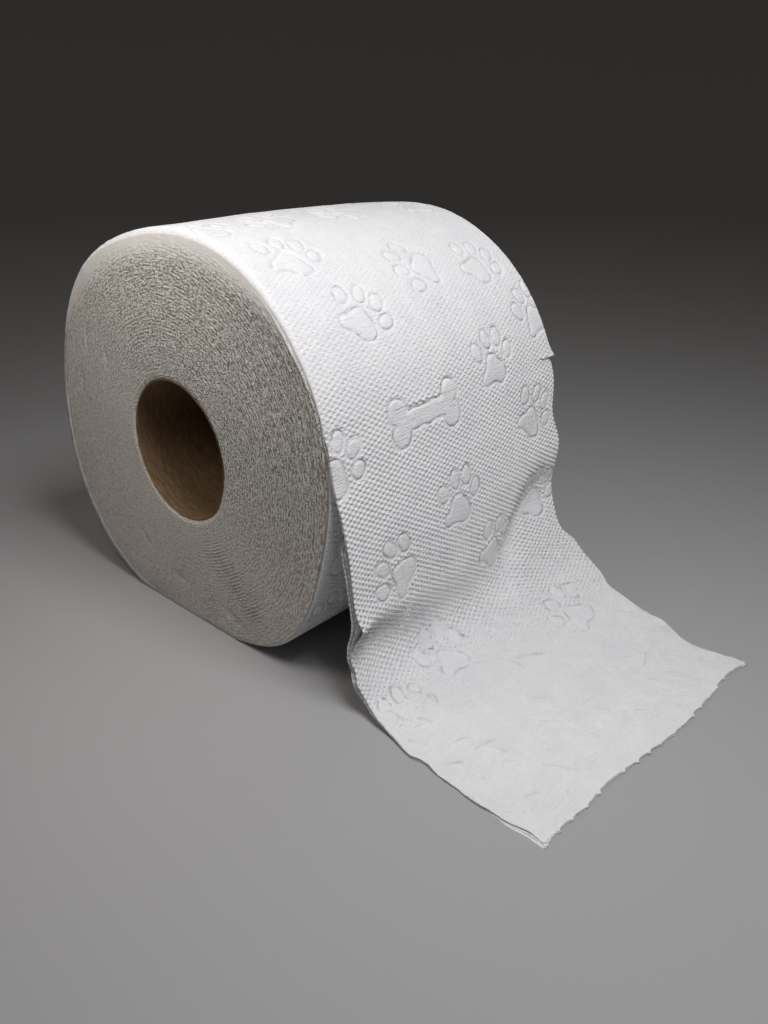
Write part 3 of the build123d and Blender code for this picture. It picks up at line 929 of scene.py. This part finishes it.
def crease(x, s, x0, s0, x1, s1, height, width):
    ex, es = x1 - x0, s1 - s0
    length = math.hypot(ex, es)
    t = ((x - x0) * ex + (s - s0) * es) / length**2
    across = ((x - x0) * es - (s - s0) * ex) / length
    along = step(-0.15, 0.25, t) * (1 - step(0.75, 1.15, t))
    # steep on one side, easing away on the other
    rise = step(-0.6 * width, 0.4 * width, across) * np.exp(-np.maximum(across, 0) / 1.8)
    return height * along * (rise - 0.35 * bell(across + 0.8 * width, 0.8 * width))


def to_crease(x, s, x0, s0, x1, s1, height, width):
    """How far a point is from a crease's line, far off for the faint ones; it
    places the painted shade along the creases.
    """
    ex, es = x1 - x0, s1 - s0
    length = math.hypot(ex, es)
    t = ((x - x0) * ex + (s - s0) * es) / length**2
    across = ((x - x0) * es - (s - s0) * ex) / length + 0.35 * np.sin(3.1 * t + 9 * height)
    return np.hypot(across, length * np.maximum(0, np.maximum(-t, t - 1))) + (0.0 if abs(height) > 0.4 else 4.0)


def torn(x, seed):
    """The torn end: small bonds every 5.2 mm, shallow scallops between."""
    x = x + 0.5 * noise2(x, 0 * x, 9, 1, seed + 2)
    f = np.mod(x + 1.3, 5.2) / 5.2
    vary = np.random.default_rng(seed).uniform(-1, 1, 64)[(np.floor((x + 1.3) / 5.2) + 20).astype(int)]
    reach = np.where(vary < -0.72, 0.05, 0.52 + 0.38 * vary)
    slope = bell(f - 0.11 - 0.03 * vary, 0.07)
    scallop = -0.05 * (1 - (2 * (f - 0.2) / 0.8 - 1) ** 2) * (1 + 1.2 * vary) * (f > 0.2)
    slow = 0.12 * fractal(x, 0 * x, 12, 1, seed + 3)
    return slow + scallop + reach * slope + 0.22 * fractal(x, 0 * x, 1.2, 1, seed + 1)


def loose_ply(name, level, xs, ss, thick, seed):
    """level 0 is the top ply, 1 the middle and 2 the lowest."""
    x, s = np.meshgrid(xs, ss)
    start = step(0, 3 + 5 * level, s)
    left, right = HALF + x, HALF - x
    # cut edges
    wave = (0.18 * fractal(s, 0 * s, 11, 1, seed + 3)
            + 0.10 * fractal(s, 0 * s, 1.6, 1, seed + 11) * step(26, 32, s))
    behind = (0, 0.35, 0.1)[level] * step(24, 34, s) * (1 - step(60, 72, s))
    corner = (0, 0.4, 1.0)[level] * step(114, 126, s)
    side_l = bell(left, 6) * (0.6 * wave + behind - left_edge(s) - corner)
    side_r = bell(right, 6) * (0.12 * fractal(s, 0 * s, 13, 1, seed + 5) + right_edge(s)
                               - (0, 0.25, 0.1)[level] * step(95, 110, s))
    xx = x + side_l + side_r
    tear = (torn(x, 308) + (0.0, 0.12, -0.22)[level] * (1 + noise2(x, 0 * x, 7, 1, seed + 7))
            + (0.0, 0.5, -0.7)[level] * bell(right, 3) + (0.0, 0.4, 0.8)[level] * bell(left, 4))
    s2 = (s + np.clip((s - (SHEET - 4.0)) / 4.0, 0, 1.2) * tear
          + np.clip((s - (SHEET - 16.0)) / 16.0, 0, 1.1) * end_line(x))

    p = sheet_base(xx, s2)
    n = normals_of(sheet_base, xx, s2)
    up = lift_edge(s)
    # the ridge above the bend runs in from the left edge and dies away
    ridge = 1.2 * bell(s - 50, 4.0) * (1 - step(4, 30, left)) - 0.4 * bell(s - 59, 4.0) * (1 - step(5, 30, left))
    slow = 0.22 * fractal(x, s, 24, 17, 201) * step(4, 20, s) * (1 - 0.6 * step(95, 115, s))
    # the plies lie together at first and part at the left edge lower down
    fan = step(28.0, 30.8, s + 0.8 * level)
    if level == 0:
        off = (up * bell(left, 4.5) * 0.8 + ridge) * start
    elif level == 1:
        off = ((0.8 * up * (1 - fan) + (0.25 * up - 0.45 * low_edge(s)) * fan) * bell(left, 7.0) + ridge * 0.8) * start
    else:
        off = ((0.8 * up * (1 - fan) - low_edge(s) * fan) * bell(left, 8.0) + ridge * 0.6) * start
    on_floor = step(70, 100, s)
    edge_lift = on_floor * bell(left, 2.5) * (0.35, 0.12, 0.0)[level] * (0.5 + fractal(s, 0 * s, 9, 1, seed + 9))
    # above the bend it is drawn in: low down on the left, higher on the right
    in_at = tuck_line(x)
    tuck = (-2.0 * bell(s - in_at, 8.5) * (0.55 + 0.45 * step(2, 12, left))
            * (1 + 0.5 * step(8, 28, x)) * (1 - 0.35 * step(38, 48, x))
            + 0.4 * bell(s - in_at - 16, 6)) * step(18, 34, s)
    off = off + slow + tuck + np.maximum(edge_lift, 0)
    if level == 0:
        off = off + sum(crease(x, s, *c) for c in CREASES)
        off = off + (0.075 * fractal(x, s, 1.8, 1.5, 231, 2) + 0.22 * fractal(x, s, 5, 3.0, 233, 2)) * step(62, 92, s)
        dots = dot_strength(s + step(50, 70, s) * (3 * fractal(x, s, 16, 16, 205) - 0.08 * x))
        h, marks = relief(x, s, dots, 0.15 + 0.85 * (1 - step(86, 98, s)))
        # the motifs fade out where the sheet has been pressed flat, and creases take over
        gone = s > 94 - 17 * (1 - step(-34, -26, x)) + 3 * fractal(x, s, 8, 8, 237)
        marks[..., 1] = np.where(gone, 0.9, marks[..., 1])
        # each crease's line is marked too, so it takes the pressed lines' painted shade: darker along the crease
        for c in CREASES:
            marks[..., 1] = np.minimum(marks[..., 1], 0.5 + 0.1 * np.minimum(to_crease(x, s, *c), 4))
        h = h * (0.3 + 0.7 * step(0, 0.9, np.minimum(left, right)))
        off = off + h
    else:
        marks = relief(x, s, 1.6 * (1 - step(80, 95, s)), 0.0)[1]
    inset = (0.0, 0.28, 0.42)[level]
    # ragged cut edges, thinned at the very edge
    fray = bell(left, 0.5) * (0.10 * noise2(s, 0 * s, 0.8, 1, seed + 13) + 0.12 * noise2(s, 0 * s, 2.6, 1, seed + 15))
    off = off + fray * start - 0.10 * (bell(left, 0.3) + bell(right, 0.3)) * start
    off = off - inset - (0.5 * (1 - start) if level else 0)
    outer = p + n * off[..., None]
    if level == 0:                              # it grows out of the outer turn
        leave = step(0.0, 6.0, s)[..., None]
        h0, _ = skin_height(x, s, dot_strength(s))
        on_roll = skin_point(x, s, h0 + perforation(x, np.maximum(s, 1e-6)) - 0.45 * (1 - step(-0.9, 0.0, s)))
        outer = on_roll * (1 - leave) + outer * leave
    floor_top = (0.32, 0.17, 0.08)[level]
    outer[..., 2] = np.maximum(outer[..., 2], floor_top)
    inner = outer - n * thick
    if level == 0:
        inner = p + n * (off - h - thick - 0.45 * (1 - step(0, 3, s)))[..., None]
    inner[..., 2] = np.maximum(inner[..., 2], (0.2, 0.1, 0.0)[level])
    lying = n[..., 2] > 0.7
    outer[..., 2] = np.where(lying, np.maximum(outer[..., 2], inner[..., 2] + 0.07), outer[..., 2])
    ob = slab(name, outer, inner, list(range(0, len(ss), 6 if level == 0 else 2)),
              list(range(0, len(xs), 8 if level == 0 else 5)), tissue, np.stack([x, s], -1), marks)
    return settle(ob, "tissue", "paper_roll")


rows_fine = np.unique(np.round(np.concatenate([
    [-1.2, -0.8, -0.4], np.arange(0, 347) * 0.375, [0.04, 0.09, 0.19],
    [SHEET - 0.2, SHEET]]), 5))
rows_fine = rows_fine[rows_fine <= SHEET]
top = loose_ply("loose_sheet_top_ply", 0, columns(fine), rows_fine, 0.15, 301)
xs_low = np.concatenate([-HALF + np.array([0, .4, .9, 1.5, 2.2, 3.1, 4.2]), np.linspace(-43, 43, 62),
                         HALF - np.array([4.2, 2.8, 1.6, 0.7, 0])])
ss_low = np.concatenate([np.linspace(0.5, 26, 14), np.arange(27, 82, 0.75), np.linspace(82.5, 126, 32),
                         np.linspace(126.7, SHEET, 7)])
# enough points across the torn end to follow it
xs_mid = np.unique(np.round(np.concatenate([xs_low, np.arange(-47.5, 48, 0.8)]), 4))
middle = loose_ply("loose_sheet_middle_ply", 1, xs_mid, ss_low, 0.10, 321)
lowest = loose_ply("loose_sheet_lowest_ply", 2, xs_mid, ss_low, 0.10, 341)

# ----------------------------------------------------- floor, light and camera
def backdrop():
    n, radius, bend, height = 96, 1.5, 0.7, 1.6
    prof = [(0.0, 0.0), (0.25, 0), (0.6, 0), (1.0, 0.0), (radius, 0.0)]
    prof += [(radius + bend * math.sin(a), bend * (1 - math.cos(a))) for a in np.linspace(0.12, math.pi / 2, 12)]
    prof += [(radius + bend, height)]
    verts, faces = [(0.0, 0.0, 0.0)], []
    for r, z in prof[1:]:
        verts += [(r * math.cos(2 * math.pi * k / n), r * math.sin(2 * math.pi * k / n), z) for k in range(n)]
    faces += [(0, 1 + k, 1 + (k + 1) % n) for k in range(n)]
    for i in range(len(prof) - 2):
        a, b = 1 + i * n, 1 + (i + 1) * n
        faces += [(a + k, b + k, b + (k + 1) % n, a + (k + 1) % n) for k in range(n)]
    me = bpy.data.meshes.new("floor")
    me.from_pydata(verts, [], faces)
    me.polygons.foreach_set("use_smooth", [True] * len(faces))
    m, nodes, links, bsdf = material("floor")
    bsdf.inputs["Base Color"].default_value = (0.42, 0.42, 0.42, 1)
    bsdf.inputs["Roughness"].default_value = 0.9
    bsdf.inputs["Specular IOR Level"].default_value = 0.1
    me.materials.append(m)
    ob = bpy.data.objects.new("floor", me)
    bpy.context.scene.collection.objects.link(ob)


backdrop()


def area_light(name, where, aim, size, watts, colour=(1, 1, 1)):
    data = bpy.data.lights.new(name, "AREA")
    data.shape = "RECTANGLE"
    data.size, data.size_y = size
    data.energy = watts
    data.color = colour
    ob = bpy.data.objects.new(name, data)
    bpy.context.scene.collection.objects.link(ob)
    d = np.array(aim, float) - np.array(where, float)
    d /= np.linalg.norm(d)
    right = np.cross(d, (0.0, 0.3, 1.0))
    right /= np.linalg.norm(right)
    upv = np.cross(right, d)
    m = np.eye(4)
    m[:3, 0], m[:3, 1], m[:3, 2], m[:3, 3] = right, upv, -d, where
    ob.matrix_world = Matrix(m.tolist())
    return ob


area_light("overhead", (-0.055, -0.186, 0.314), (0, -0.04, 0.05), (0.12, 0.12), 0.68, (1.0, 0.985, 1.0))
area_light("left", (-0.115, 0.0, 0.15), (-0.05, 0.0, 0.09), (0.06, 0.06), 0.05, (1.0, 0.96, 0.92))
area_light("room", (0.0, 0.0, 2.3), (0, 0, 0), (2.2, 2.2), 3.4, (1.0, 0.95, 0.90))

world = bpy.data.worlds.new("world")
world.use_nodes = True
world.node_tree.nodes["Background"].inputs["Color"].default_value = (1.0, 0.945, 0.89, 1)
world.node_tree.nodes["Background"].inputs["Strength"].default_value = 0.03
bpy.context.scene.world = world
bpy.context.scene.view_settings.view_transform = "Standard"

az, el, turn = math.radians(-47.52), math.radians(25.11), math.radians(-0.28)
back = np.array([math.sin(az) * math.cos(el), -math.cos(az) * math.cos(el), math.sin(el)])
right = np.cross(-back, (0, 0, 1))
right /= np.linalg.norm(right)
up = np.cross(right, -back)
r2 = right * math.cos(turn) + up * math.sin(turn)
u2 = -right * math.sin(turn) + up * math.cos(turn)
cam_data = bpy.data.cameras.new("camera")
cam_data.sensor_width = 36.0
cam_data.lens = 812.1 * 36.0 / 1024.0
cam_data.clip_start = 0.01
cam = bpy.data.objects.new("camera", cam_data)
bpy.context.scene.collection.objects.link(cam)
m = np.eye(4)
m[:3, 0], m[:3, 1], m[:3, 2] = r2, u2, back
m[:3, 3] = (-0.1701, -0.1922, 0.1391)
cam.matrix_world = Matrix(m.tolist())
bpy.context.scene.camera = cam

# ------------------------------------------------------------------ last update
bpy.context.view_layer.update()
